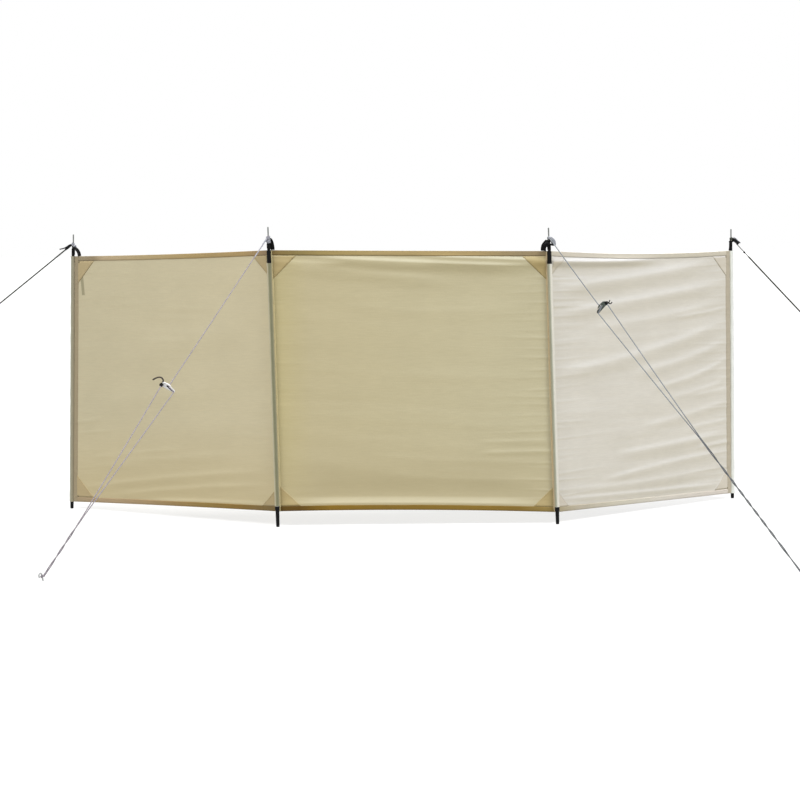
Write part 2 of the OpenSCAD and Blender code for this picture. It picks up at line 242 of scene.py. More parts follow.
# ---------------------------------------------------------------- making meshes
def piece(name, points, faces, uvs, material, slot, replaces=()):
    """A mesh from points, faces and one UV pair for each point, riding on the root body."""
    mesh = bpy.data.meshes.new(name)
    mesh.from_pydata([tuple(p) for p in points], [], [tuple(f) for f in faces])
    layer = mesh.uv_layers.new(name="UVMap")
    index = np.zeros(len(mesh.loops), np.int32)
    mesh.loops.foreach_get("vertex_index", index)
    layer.data.foreach_set("uv", np.asarray(uvs, np.float32)[index].ravel())
    mesh.polygons.foreach_set("use_smooth", [True] * len(mesh.polygons))
    mesh.materials.append(material)
    mesh.update()
    obj = bpy.data.objects.new(name, mesh)
    bpy.context.scene.collection.objects.link(obj)
    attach(obj, "root")
    if replaces:
        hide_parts(*replaces)
    return obj


def grid(points, wrap=False, caps=False):
    """Faces of a grid of points (rows, columns, 3); wrap closes each row into a ring."""
    rows, cols = points.shape[:2]
    r, c = np.meshgrid(np.arange(rows - 1), np.arange(cols if wrap else cols - 1), indexing="ij")
    n = (c + 1) % cols
    corners = [r * cols + c, r * cols + n, (r + 1) * cols + n, (r + 1) * cols + c]
    faces = np.stack(corners, -1).reshape(-1, 4).tolist()
    if caps:
        faces.append(list(range(cols - 1, -1, -1)))
        faces.append([(rows - 1) * cols + k for k in range(cols)])
    return points.reshape(-1, 3), faces


def uv_grid(x, y):
    """UV pairs for a grid of points, from x and y that broadcast to its rows and columns."""
    return np.stack(np.broadcast_arrays(x, y), -1).reshape(-1, 2)


def flipped(faces):
    """The same faces, looking the other way."""
    return [face[::-1] for face in faces]


def join(parts):
    """Several (points, faces, uvs) as one."""
    points, faces, uvs, base = [], [], [], 0
    for p, f, w in parts:
        points.append(np.asarray(p))
        uvs.append(np.asarray(w))
        faces += [[k + base for k in face] for face in f]
        base += len(p)
    return np.concatenate(points), faces, np.concatenate(uvs)


def resample(path, step):
    """A path's points, at even steps of about that length, on a smooth curve through them."""
    path = np.asarray(path, float)
    ends = np.concatenate([[2 * path[0] - path[1]], path, [2 * path[-1] - path[-2]]])
    out = []
    for k in range(len(path) - 1):
        a, b, c, d = ends[k:k + 4]
        n = max(2, int(np.linalg.norm(c - b) / step))
        t = (np.arange(n) / n)[:, None]
        bend, twist = 2 * a - 5 * b + 4 * c - d, 3 * b - a - 3 * c + d
        out.append(b + 0.5 * ((c - a) * t + bend * t ** 2 + twist * t ** 3))
    return np.concatenate(out + [path[-1:]])


def distances(path):
    """How far along a path each of its points lies."""
    return np.concatenate([[0], np.cumsum(np.linalg.norm(np.diff(path, axis=0), axis=1))])


def tangents(path):
    return unit(np.gradient(path, axis=0))


def circle(a, x, y):
    """Directions at the angles a, from x towards y."""
    return np.cos(a)[..., None] * x + np.sin(a)[..., None] * y


def frames(path):
    """Two directions across a path that turn as little as they can, at each of its points."""
    t = tangents(path)
    x = np.cross(t[0], (0, 0, 1))
    if np.linalg.norm(x) < 1e-3:
        x = np.cross(t[0], (1, 0, 0))
    xs = []
    for ahead in t:
        x = unit(x - ahead * np.dot(x, ahead))
        xs.append(x)
    return np.array(xs), np.cross(t, xs)


def rope(path, radius, pitch=0.022, sides=12, lobes=3, depth=0.13, begin=0.0):
    """A laid cord along a path: a tube with lobes that wind round it. radius may be one for each point.

    begin is how far along its line the cord starts, for its colours.
    """
    x, y = frames(path)
    run = begin + distances(path)
    a = np.linspace(0, math.tau, sides, endpoint=False)
    wound = math.tau * run / pitch
    lobe = 1 - depth * (0.5 + 0.5 * np.cos(lobes * (a - wound[:, None])))
    r = np.broadcast_to(radius, run.shape)[:, None] * lobe
    p, f = grid(path[:, None] + r[..., None] * circle(a, x[:, None], y[:, None]), wrap=True, caps=True)
    return p, f, uv_grid(a / math.tau, run[:, None])


def band(path, across, width, thick):
    """Webbing: a flat band along a path, with rounded edges. across is its width direction."""
    t = tangents(path)
    across = unit(across - t * np.sum(across * t, axis=1)[:, None])
    up = np.cross(t, across)
    w, h = width / 2, thick / 2
    ring = [(-w, -h / 2), (-w + h, -h), (0, -h), (w - h, -h), (w, -h / 2),
            (w, h / 2), (w - h, h), (0, h), (-w + h, h), (-w, h / 2)]
    p, f = grid(np.stack([path + across * a + up * b for a, b in ring], 1), wrap=True, caps=True)
    return p, f, uv_grid([a for a, b in ring], distances(path)[:, None])


def eyelet(centre, x, y, axis, radius, wide, high, steps, sides):
    """A metal ring about a centre, from x towards y, with half the width and the height of its section."""
    a = np.linspace(0, math.tau, steps)
    c = np.linspace(0, math.tau, sides, endpoint=False)
    points = (centre + (radius + wide * np.cos(c))[:, None] * circle(a, x, y)[:, None]
              + (high * np.sin(c))[:, None] * axis)
    p, f = grid(points, wrap=True)
    return p, f, np.zeros((len(p), 2))


def stitch_line(path, normal, pitch=4 * MM):
    """A row of stitches on a dense path: each a short spindle of thread, its middle lifted off the cloth."""
    run = distances(path)
    at = np.arange(1 * MM, run[-1] - pitch, pitch)
    starts, ends = (np.stack([np.interp(where, run, path[:, k]) for k in range(3)], -1)
                    for where in (at, at + pitch - 0.9 * MM))
    x = np.cross(unit(ends - starts), normal)
    middle = (starts + ends) / 2 + normal * 0.3 * MM
    ring = [middle + way * 0.35 * MM for way in (x, normal, -x, -normal)]
    points = np.stack([starts, *ring, ends], 1).reshape(-1, 3)
    spindle = [face for p, q in ((1, 2), (2, 3), (3, 4), (4, 1)) for face in ([0, q, p], [5, p, q])]
    faces = (6 * np.arange(len(at))[:, None, None] + spindle).reshape(-1, 3).tolist()
    return points, faces, np.zeros((len(points), 2))


# ---------------------------------------------------------------- materials
class Nodes:
    """Short names for building the node tree of a material or a world."""

    def __init__(self, block):
        block.use_nodes = True
        self.block, self.tree = block, block.node_tree
        self.shader = self.tree.nodes.get("Principled BSDF")

    def add(self, kind, **values):
        node = self.tree.nodes.new("ShaderNode" + kind)
        for key, value in values.items():
            if hasattr(node, key):
                setattr(node, key, value)
            else:
                node.inputs[key.replace("_", " ")].default_value = value
        return node

    def link(self, out, into):
        self.tree.links.new(out, into)

    def place(self, what, scale=(1, 1, 1)):
        """UV or object coordinates, stretched by scale."""
        co = self.add("TexCoord")
        stretch = self.add("Mapping")
        stretch.inputs["Scale"].default_value = scale
        self.link(co.outputs[what], stretch.inputs["Vector"])
        return stretch.outputs["Vector"]

    def noise(self, where, scale, detail=3.0):
        n = self.add("TexNoise", Scale=scale, Detail=detail)
        self.link(where, n.inputs["Vector"])
        return n.outputs["Fac"]

    def wave(self, where, scale, direction, distortion):
        n = self.add("TexWave", bands_direction=direction, Scale=scale, Distortion=distortion)
        self.link(where, n.inputs["Vector"])
        return n.outputs["Fac"]

    def ramp(self, fac, stops):
        r = self.add("ValToRGB")
        elements = r.color_ramp.elements
        for element, (at, c) in zip(elements, (stops[0], stops[-1])):
            element.position, element.color = at, (*c, 1)
        for at, c in stops[1:-1]:
            elements.new(at).color = (*c, 1)
        self.link(fac, r.inputs["Fac"])
        return r.outputs["Color"]

    def feed(self, socket, value):
        """Into a socket goes a number, a colour or another node's output."""
        if isinstance(value, (int, float)):
            socket.default_value = value
        elif isinstance(value, tuple):
            socket.default_value = (*value, 1)
        else:
            self.link(value, socket)

    def math(self, how, a, b=0):
        m = self.add("Math", operation=how)
        self.feed(m.inputs[0], a)
        self.feed(m.inputs[1], b)
        return m.outputs["Value"]

    def mix(self, fac, a, b, how="MIX"):
        m = self.add("Mix", data_type="RGBA", blend_type=how)
        for socket, value in ((0, fac), (6, a), (7, b)):       # a colour mix's own sockets
            self.feed(m.inputs[socket], value)
        return m.outputs[2]

    def spread(self, value, low, high, to_low=0.0, to_high=1.0):
        """value from low to high, as to_low to to_high."""
        r = self.add("MapRange", From_Min=low, From_Max=high, To_Min=to_low, To_Max=to_high)
        self.link(value, r.inputs["Value"])
        return r.outputs["Result"]

    def tint(self, colour, factor):
        """A colour, or the output of a node, made darker."""
        if isinstance(colour, tuple):
            return darker(colour, factor)
        return self.mix(1.0, colour, (factor, factor, factor), "MULTIPLY")

    def bump(self, height, strength, distance):
        b = self.add("Bump", Strength=strength, Distance=distance)
        self.link(height, b.inputs["Height"])
        self.link(b.outputs["Normal"], self.shader.inputs["Normal"])

    def finish(self, tone, rough, **values):
        """The shader's colour, roughness and other values. Gives the material."""
        self.link(tone, self.shader.inputs["Base Color"])
        self.link(rough, self.shader.inputs["Roughness"])
        for key, value in values.items():
            self.shader.inputs[key.replace("_", " ")].default_value = value
        return self.block

    def join(self, kind, output, *inputs):
        """Joins shaders into one, which becomes the output's surface."""
        joined = self.add(kind)
        for socket, source in zip(joined.inputs, inputs):
            self.link(source, socket)
        self.link(joined.outputs[0], self.tree.nodes[output].inputs["Surface"])

    def split(self, vector):
        """A vector's three numbers."""
        parts = self.add("SeparateXYZ")
        self.link(vector, parts.inputs[0])
        return parts.outputs

    def times(self, a, b):
        return self.math("MULTIPLY", a, b)


def srgb(r, g, b):
    """A colour as it is seen, 0 to 255, in the linear values that shaders take."""
    return tuple((c / 255 / 12.92) if c <= 10 else ((c / 255 + 0.055) / 1.055) ** 2.4 for c in (r, g, b))


def stops(*rows):
    """Colours along a ramp, from rows of (place, red, green, blue)."""
    return [(at, srgb(*colour)) for at, *colour in rows]


def darker(colour, factor):
    return tuple(x * factor for x in colour)


# Painted light on a fold's slope, as tints: facing the ground (warmer, painted shade), level, facing the sky
# (cooler, painted skylight), steeply so
STEEPEST = 0.56                           # how much of such a slope's normal points up
FOLD_LIGHT_TINTS = [(0.25, (0.99, 0.965, 0.88)), (0.5, (1.0, 1.0, 1.0)), (0.75, (1.01, 1.04, 1.12)),
              (1.0, (1.04, 1.09, 1.24))]
WARP, WEFT = 260, 240                     # threads of the cloth's two sets, as waves in a metre
TAPE_SHADOW = srgb(140, 134, 106)              # painted shadow of a tape hanging behind the cloth


def canvas(name, colour=None, low=None, weave=0.3, run=None, tape=None, round_it=None, folds=0.0):
    """Plain-weave cloth: two sets of threads, slubs, streaks and faint blotches.

    low paints shade towards the ground, a darker tint lower down. run gives its colours along a bay, from its
    left (0) to its right (1), painting light and shade along it.
    tape paints the shadow of a tape hanging behind it, seen through the cloth: a darker slanting strip, from
    two points and a half width in metres.
    round_it paints light and shade round a tunnel: its colours from its left side (0) over its front to its
    right side (1).
    folds paints light by the slope: what faces up cooler, as lit by the sky, and what faces down warmer, as
    in shade, where 1 is the full tint.
    """
    m = Nodes(bpy.data.materials.new(name))
    uv = m.place("UV")
    x, y = m.split(uv)[:2]
    slub = m.noise(m.place("UV", (40, 900, 1)), 1.0, 2.0)
    weaving = m.times(m.math("ADD", m.wave(uv, WARP, "X", 0.4), m.wave(uv, WEFT, "Y", 0.4)), 0.35)
    blotch = m.noise(m.place("Object"), 5.0, 4.0)
    grain = m.noise(uv, 160.0, 3.0)
    streak = m.noise(m.place("UV", (14, 150, 1)), 1.0, 3.0)
    # painted light and shade along a bay
    if run:
        colour = m.ramp(m.spread(x, 0, 1.47), run)
    # painted light and shade round a tunnel
    if round_it:
        colour = m.ramp(m.spread(m.math("COSINE", m.times(x, 1 / SLEEVE_R)), -1, 1), round_it)
    tone = m.mix(m.spread(blotch, 0.3, 0.7), m.tint(colour, 0.95), colour)
    tone = m.mix(m.times(m.spread(streak, 0.35, 0.65), 0.28), tone, m.tint(colour, 0.80))
    tone = m.mix(m.times(m.spread(grain, 0.35, 0.65), weave), tone, m.tint(colour, 0.86))
    # painted shade towards the ground
    if low:
        height = m.split(m.place("Object"))["Z"]
        tone = m.mix(m.times(m.spread(height, 0.55, 0.10), 0.5), tone, low)
    # painted shadow of the tie tape, seen through the cloth
    if tape:
        (x0, y0), (x1, y1), half = tape
        lean = (x1 - x0) / (y1 - y0)
        off = m.math("ABSOLUTE", m.math("SUBTRACT", x, m.math("ADD", m.times(y, lean), x0 - y0 * lean)))
        strip = m.times(m.spread(off, half, half - 4 * MM), m.spread(y, y1 - 1 * MM, y1 + 3 * MM))
        tone = m.mix(m.times(strip, 0.75), tone, TAPE_SHADOW)
    # painted light and shade: cooler where the surface faces up, warmer where it faces down
    if folds:
        facing = m.split(m.add("NewGeometry").outputs["Normal"])["Z"]
        tint = m.ramp(m.spread(facing, -STEEPEST, STEEPEST), FOLD_LIGHT_TINTS)
        tone = m.mix(folds, tone, m.mix(1.0, tone, tint, "MULTIPLY"))
    m.bump(m.math("ADD", weaving, m.times(slub, 0.4)), 0.35, 0.0004)
    return m.finish(tone, m.spread(grain, 0, 1, 0.78, 0.95), Sheen_Weight=0.15, Sheen_Roughness=0.5,
                    Specular_IOR_Level=0.2)


def plastic(name, colour, rough):
    """Moulded plastic: fine texture, scuffs that are paler and duller."""
    m = Nodes(bpy.data.materials.new(name))
    scuff = m.noise(m.place("Object", (1, 1, 0.2)), 130.0, 5.0)
    worn = tuple(x + 0.006 for x in colour)
    tone = m.ramp(scuff, [(0.45, colour), (0.62, darker(colour, 1.25)), (0.78, worn)])
    m.bump(m.noise(m.place("Object"), 900.0, 2.0), 0.15, 0.0003)
    return m.finish(tone, m.spread(scuff, 0.3, 0.7, rough - 0.06, rough + 0.12), Specular_IOR_Level=0.12)


def metal(name, colour, rough, grain=(1, 1, 0.02), metallic=1.0):
    """Drawn or galvanised metal: lengthwise grain and dull spots."""
    m = Nodes(bpy.data.materials.new(name))
    lines = m.noise(m.place("Object", grain), 900.0, 3.0)
    spots = m.noise(m.place("Object"), 220.0, 4.0)
    m.bump(lines, 0.12, 0.0002)
    return m.finish(m.ramp(spots, [(0.35, darker(colour, 0.82)), (0.6, colour)]),
                    m.spread(lines, 0.3, 0.7, rough - 0.07, rough + 0.1), Metallic=metallic)


def webbing(name, colour):
    """Woven tape: ribs across it and a herringbone of threads."""
    m = Nodes(bpy.data.materials.new(name))
    uv = m.place("UV")
    ribs = m.wave(uv, 190, "Y", 0.6)
    fluff = m.noise(m.place("Object"), 500.0, 3.0)
    m.bump(m.math("ADD", ribs, m.times(m.wave(uv, 320, "X", 0.3), 0.5)), 0.5, 0.0006)
    return m.finish(m.mix(m.times(ribs, 0.6), darker(colour, 0.7), darker(colour, 1.4)),
                    m.spread(fluff, 0, 1, 0.6, 0.9), Sheen_Weight=0.03, Specular_IOR_Level=0.12)


def cord_material(name, colour, fleck, late=None, gloss=0.5):
    """Braided cord: crossing sets of threads, some of them in a second colour.

    late paints shade further along, a darker stretch: between two distances in metres, and how dark.
    """
    m = Nodes(bpy.data.materials.new(name))
    threads = m.times(*(m.wave(m.place("UV", (way * 6, 260, 1)), 1.0, "DIAGONAL", 0.2) for way in (1, -1)))
    picks = m.noise(m.place("UV", (5, 150, 1)), 1.0, 1.0)
    tone = m.mix(m.ramp(picks, [(0.52, (0, 0, 0)), (0.60, (1, 1, 1))]), colour, fleck)
    tone = m.mix(m.times(threads, 0.35), tone, darker(colour, 0.55))
    if late:
        start, end, dark = late
        tone = m.mix(m.spread(m.split(m.place("UV"))["Y"], start, end), tone, m.tint(tone, dark))
    m.bump(threads, 0.6, 0.0006)
    return m.finish(tone, m.spread(threads, 0, 1, 0.65, 0.85),
                    Sheen_Weight=0.2 * gloss, Specular_IOR_Level=gloss)


TIE_TOP, TIE_LOW = (40 * MM, TOP - 30 * MM), (68 * MM, TOP - 222 * MM)      # along and up the left bay
# One cloth, painted in lit and shaded copies: the right bay's paler, cooler colours are painted sunlight on
# its front, the left and centre bays' warmer, darker ones painted shade with light showing through from
# behind
PANEL = [canvas("canvas_left", low=srgb(194, 176, 130), tape=(TIE_TOP, TIE_LOW, 13 * MM), folds=0.8,
                run=stops((0.03, 201, 191, 159), (0.97, 211, 200, 167))),
         canvas("canvas_centre", low=srgb(182, 169, 134), folds=1.0,
                run=stops((0.01, 193, 181, 136), (0.14, 193, 182, 146), (0.97, 195, 187, 155))),
         canvas("canvas_right", srgb(220, 215, 203), weave=0.2, folds=0.9)]
# Hem colours: darker and browner on the left and centre bays, painted shade on the double cloth lit from
# behind, paler on the right bay, painted sunlight; each run paints the light and shade along its hem
HEM_TOP = [canvas(f"hem_top_{bay}", run=run) for bay, run in zip(BAYS, (
    stops((0.0, 160, 148, 122), (0.10, 154, 137, 108), (0.15, 190, 170, 136), (0.35, 186, 166, 124),
          (0.60, 180, 156, 106), (0.86, 176, 150, 102), (0.96, 154, 131, 100)),
    stops((0.0, 132, 110, 66), (0.10, 141, 124, 76), (0.22, 164, 144, 92), (0.40, 176, 155, 107),
          (0.75, 171, 149, 103), (0.90, 154, 137, 104), (1.0, 150, 132, 100)),
    stops((0.0, 210, 202, 186), (0.40, 215, 208, 193), (0.75, 206, 199, 180), (1.0, 210, 202, 184))))]
# Bottom hems: the same painted light and shade as the top hems, darkest by pole 2
HEM_LOW = [canvas(f"hem_low_{bay}", run=run) for bay, run in zip(BAYS, (
    stops((0.0, 168, 150, 120), (0.20, 176, 153, 120), (0.35, 172, 148, 111), (0.50, 165, 138, 92),
          (0.65, 155, 130, 73), (0.80, 145, 115, 57), (0.96, 128, 108, 68)),
    stops((0.0, 100, 76, 28), (0.08, 98, 72, 20), (0.19, 134, 104, 32), (0.40, 130, 102, 38),
          (0.72, 138, 110, 42), (0.88, 133, 107, 46), (1.0, 148, 128, 76)),
    stops((0.0, 178, 165, 132), (0.13, 195, 186, 166), (0.36, 214, 208, 190), (0.60, 221, 215, 203),
          (1.0, 225, 216, 205))))]
# Patches: darker double cloth on the left and centre bays, painted shade, and a paler copy on the right bay,
# painted sunlight
PATCH_CLOTH = [canvas("patch_left", srgb(186, 168, 128)),
               canvas("patch_centre", srgb(182, 164, 118), folds=1.0),
               canvas("patch_right", srgb(216, 208, 192), folds=0.9)]
# Tunnels' colours round them are painted light and shade: paler where light falls on a side, darker and
# greyer where it is in shade
SLEEVE_CLOTH = [canvas(f"sleeve_cloth_{k + 1}", round_it=round_it) for k, round_it in enumerate((
    stops((0.0, 184, 186, 168), (0.35, 156, 151, 130), (0.8, 150, 142, 120), (1.0, 150, 138, 112)),
    stops((0.0, 204, 195, 164), (0.16, 198, 190, 162), (0.30, 156, 152, 124), (0.48, 124, 124, 98),
          (0.74, 130, 130, 104), (0.92, 152, 149, 122), (1.0, 176, 164, 128)),
    stops((0.0, 182, 172, 146), (0.12, 162, 158, 134), (0.32, 160, 162, 144), (0.50, 192, 193, 178),
          (0.68, 228, 224, 211), (1.0, 228, 224, 212)),
    stops((0.0, 206, 202, 190), (0.2, 222, 224, 215), (0.55, 236, 239, 233), (1.0, 236, 238, 234))))]
# Seam allowances: colours painted for their light and shade; the fronts of the centre bay's seams are painted
# lighter than their backs, painted light
SEAM_CLOTH = {(0, LEFT): canvas("seam_1", srgb(164, 150, 122)),
              (1, LEFT): canvas("seam_2_left", srgb(190, 180, 142)),
              (1, CENTRE): canvas("seam_2_centre", srgb(224, 210, 160)),
              (2, CENTRE): canvas("seam_3", srgb(214, 194, 154)),
              (2, RIGHT): canvas("seam_3_right", srgb(220, 214, 202)),
              (3, RIGHT): canvas("seam_4", srgb(188, 178, 158))}
SEAM_BACK = canvas("seam_back", srgb(186, 174, 138))
THREAD = canvas("thread", srgb(120, 98, 66), weave=0.1)
PALE_THREAD = canvas("pale_thread", srgb(176, 166, 148), weave=0.1)
SEWING = [THREAD, THREAD, PALE_THREAD]
BLACK = plastic("black_plastic", srgb(8, 8, 9), 0.5)
STEEL = metal("pin_steel", srgb(124, 127, 124), 0.45)
TUBE = metal("tube_steel", srgb(165, 167, 168), 0.3)
PEG = metal("peg_steel", srgb(160, 162, 162), 0.38)
BRASS = metal("eyelet_metal", srgb(120, 112, 92), 0.4)
# One aluminium as a lit and a shaded copy: painted white for the sunlit sliders, their light and reflection,
# and painted dark for the shaded ones
SUNLIT_SLIDER = metal("pale_slider", srgb(255, 255, 255), 0.3, grain=(1, 1, 1), metallic=0.0)
SHADED_SLIDER = metal("dark_slider", srgb(72, 80, 74), 0.36, grain=(1, 1, 1), metallic=0.7)
WEB = webbing("black_webbing", srgb(10, 10, 11))
TAPE = webbing("grey_tape", srgb(120, 116, 104))
# The guy lines share one grey cord: the outer lines' cord and line 3's are darker copies, painted shade, and
# late paints shade further along them; the near-black lashing is partly dark cord and partly painted shade
CORD = cord_material("guy_cord", srgb(164, 156, 164), srgb(118, 112, 126), late=(1.9, 2.2, 0.68))
CORD_SHADED = cord_material("guy_cord_dark", srgb(140, 145, 150), srgb(88, 92, 100), late=(1.40, 1.72, 0.42))
CORD_OUTER = cord_material("guy_cord_outer", srgb(74, 78, 70), srgb(38, 40, 36), gloss=0.15)
TAIL = cord_material("tail_cord", srgb(44, 38, 30), srgb(84, 74, 58))
CORD_PALE = cord_material("pale_lashing", srgb(176, 178, 186), srgb(122, 124, 140))
LASHING = cord_material("lashing_cord", srgb(10, 10, 12), srgb(26, 27, 31), gloss=0.12)

HARDWARE = {"foot": BLACK, "cap": BLACK, "pin": STEEL, "pole": TUBE, "peg": PEG}
# sliders 1 and 2 take the sunlit copy, 3 and 4 the shaded one: painted light and shade
for k in range(1, 5):
    for kind, material in {**HARDWARE, "slider": SUNLIT_SLIDER if k < 3 else SHADED_SLIDER}.items():
        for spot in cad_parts[f"{kind}_{k}"].material_slots:
            spot.material = material

# ---------------------------------------------------------------- fabric bays
COARSE = 1
ACROSS, UP = 230 // COARSE, 340 // COARSE
# A hem's section on the front: from its inner edge (0) to its fold (1), and how thick it is there, in mm
HEM_SECTION = [(0.0, 1.125), (0.25, 1.4375), (0.6, 1.5), (0.9, 1.1875), (1.0, 0.4375)]
HEM_WAVES = [(3, 0.30), (7, 0.21), (17, 0.12)]         # unevenness of a hem's width: waves in a bay, and mm


def make_panel(b):
    even = np.linspace(0, 1, UP)
    closer = 0.5 - 0.5 * np.cos(math.pi * even)      # more rows near the hems, for the folds there
    s = (3 * MM + (TOP - 6 * MM) * (0.45 * even + 0.55 * closer))[:, None]
    u = np.linspace(0, 1, ACROSS)
    p, f = grid(cloth_point(b, u, s))
    name = f"panel_{BAYS[b]}"
    return piece(name + "_cloth", p, f, uv_grid(u * WIDTH[b], s), PANEL[b], "canvas", [name])


def make_hem(b, top):
    """The folded edge: a flat, slightly puffed ring round the cloth's edge, with rows of stitches."""
    edge, inward = (TOP, -1) if top else (0, 1)
    name = f"hem_{'top' if top else 'low'}_{BAYS[b]}"
    u = np.linspace(0, 1, ACROSS)
    rng = np.random.default_rng(60 + 2 * b + top)
    depth = HEM + sum(np.sin(math.tau * (f * u + rng.uniform())) * a for f, a in HEM_WAVES) * MM
    section = HEM_SECTION + [(out, -lift) for out, lift in HEM_SECTION[::-1]]
    rings = [cloth_point(b, u, edge + inward * depth * (1 - out), lift * MM) for out, lift in section]
    p, f = grid(np.stack(rings, 1), wrap=True, caps=True)
    uv = uv_grid(u[:, None] * WIDTH[b], [out * HEM for out, lift in section])
    hem = piece(name, p, f if top else flipped(f), uv, (HEM_TOP if top else HEM_LOW)[b], "hem_tape",
                [f"hems_{BAYS[b]}"])
    rows = []
    fine = np.linspace(0.006, 0.994, 500)
    for side in (1, -1):
        for inset in (3 * MM, HEM - 4 * MM):
            path = cloth_point(b, fine, edge + inward * (HEM - inset), side * 1.45 * MM)
            rows.append(stitch_line(path, front[b] * side, pitch=4.5 * MM))
    return hem, piece(name + "_stitches", *join(rows), SEWING[b], "hem_tape")


def make_patch(b, right, top):
    """A three-cornered patch in one corner, on the front, with its folded slanting edge and stitches."""
    at_end = b == (RIGHT if right else LEFT)
    beside = 1 * MM if at_end else SLEEVE_R + 2 * MM
    size = PATCH_OUTER if at_end else PATCH_MIDDLE if b == CENTRE else PATCH_INNER
    leg = size - (0 if top or at_end else PATCH_LESS) - HEM - SLEEVE_R - 2 * MM
    inward = (-1 if right else 1) / WIDTH[b]
    u0 = right + beside * inward
    s0, down = (TOP - HEM - 1 * MM, -1) if top else (HEM + 1 * MM, 1)

    def corner(a, c, lift):
        """A point of the patch, from its square corner (0, 0) to the ends of its legs (1, 0) and (0, 1)."""
        return cloth_point(b, u0 + leg * a * inward, s0 + leg * c * down, lift * MM)

    n = 16
    points, uvs, index = [], [], {}
    for i in range(n + 1):
        for j in range(n + 1 - i):
            index[i, j] = len(points)
            points.append(corner(i / n, j / n, 1.25 if min(i, j, n - i - j) > 0 else 0.9))
            uvs.append((leg * i / n, leg * j / n))
    faces = []
    for i in range(n):
        for j in range(n - i):
            faces.append([index[i, j], index[i + 1, j], index[i, j + 1]])
            if j < n - i - 1:
                faces.append([index[i + 1, j], index[i + 1, j + 1], index[i, j + 1]])
    rim = [(k, 0) for k in range(n)] + [(n - k, k) for k in range(n)] + [(0, n - k) for k in range(n)]
    base = len(points)
    for k, (i, j) in enumerate(rim):                 # the rim turns down to the cloth
        points.append(corner(i / n, j / n, 0.1))
        uvs.append((leg * i / n, leg * j / n))
        m = (k + 1) % len(rim)
        faces.append([index[rim[k]], base + k, base + m, index[rim[m]]])
    if (inward > 0) == top:
        faces = flipped(faces)
    lines = []
    for inset in (2.2 * MM, 6.5 * MM):
        k = 1 - inset * 1.4 / leg
        path = np.array([corner(k * (1 - q), k * q, 1.5) for q in np.linspace(0.02, 0.98, 60)])
        lines.append(stitch_line(path, front[b]))
    name = f"patch_{BAYS[b]}_{'top' if top else 'low'}_{'right' if right else 'left'}"
    return (piece(name, points, faces, uvs, PATCH_CLOTH[b], "patch_canvas", [f"patches_{BAYS[b]}"]),
            piece(name + "_stitches", *join(lines), SEWING[b], "patch_canvas"))


# ---------------------------------------------------------------- tunnels for the poles
# The flat seam allowances beside each tunnel: the bay, its end there (0 or 1), and how wide it is in mm
SEAMS = [[(LEFT, 0, 29)],
         [(LEFT, 1, 18), (CENTRE, 0, 20)],
         [(CENTRE, 1, 21), (RIGHT, 0, 18)],
         [(RIGHT, 1, 38)]]
# How far a seam allowance stands off the cloth, from the tunnel to its edge, in mm
SEAM_LIFT = [1.5, 1.6, 1.6, 1.7, 1.7, 1.6, 1.3, 0.2]


def make_sleeve(i):
    """The sewn tunnel and its seams. Inner ones lie on the front of the cloth, outer ones wrap its ends."""
    outer = i in (0, 3)
    low, high = (0, TOP) if outer else (SLEEVE_FOOT, SLEEVE_TOP)
    rows, cols = 360 // COARSE, 40
    s = np.linspace(low, high, rows)[:, None]
    a = np.linspace(0.5 * math.pi, 2.5 * math.pi, cols, endpoint=False)
    rng = np.random.default_rng(20 + i)
    r = np.full((rows, cols), SLEEVE_R - 0.8 * MM)
    for _ in range(26):                              # puckers
        at, turn, tilt = rng.uniform(low, high), rng.uniform(0, math.tau), rng.uniform(-0.02, 0.02)
        wide, tall = rng.uniform(0.5, 1.1), rng.uniform(0.006, 0.03)
        off = (a - turn + math.pi) % math.tau - math.pi
        above = (s - at - tilt * off) / tall
        r = r + rng.uniform(-0.7, 0.8) * MM * np.exp(-(off / wide) ** 2 - above ** 2)
    for k in range(3):                               # long waves
        r = r + 0.25 * MM * np.sin(math.tau * rng.uniform(5, 13) * s + rng.uniform(0, 6) + (k + 1) * a)
    for end in (low, high):                          # the hemmed mouths stand out a little
        r = r + 0.7 * MM * np.exp(-((s - end) / (12 * MM)) ** 2)
    centre = on_axis(i, s[:, 0])[:, None]
    d = poles[i][1]
    x = unit(v3(1, 0, 0) - d * d[0])
    points = centre + r[..., None] * circle(a, x, np.cross(d, x))
    if not outer:                                    # the back is pressed flat against the cloth
        points[..., 1] = centre[..., 1] + np.minimum(points[..., 1] - centre[..., 1], BACK - 1.6 * MM)
    p, f = grid(points, wrap=True)
    piece(f"sleeve_{i + 1}_cloth", p, f, uv_grid(a * SLEEVE_R, s), SLEEVE_CLOTH[i], "sleeve_canvas",
          [f"sleeve_{i + 1}"])
    for b, end, wide in SEAMS[i]:
        inward = (1 if end == 0 else -1) / WIDTH[b]
        across = np.linspace(0, wide * MM, len(SEAM_LIFT))
        up = np.linspace(2 * MM, TOP - 2 * MM, rows)
        for side in (1, -1):
            p, f = grid(np.stack([cloth_point(b, end + out * inward, up, lift * side * MM)
                                  for out, lift in zip(across, SEAM_LIFT)], 1))
            name = f"seam_{i + 1}_{BAYS[b]}_{'front' if side > 0 else 'back'}"
            cloth = SEAM_BACK if side < 0 and b == CENTRE else SEAM_CLOTH[i, b]
            if (inward > 0) != (side > 0):
                f = flipped(f)
            piece(name, p, f, uv_grid(across, up[:, None]), cloth, "sleeve_canvas")
            path = cloth_point(b, end + (wide - 3.5) * MM * inward, up, 1.8 * MM * side)
            piece(name + "_stitches", *stitch_line(path, front[b] * side), SEWING[b], "sleeve_canvas")


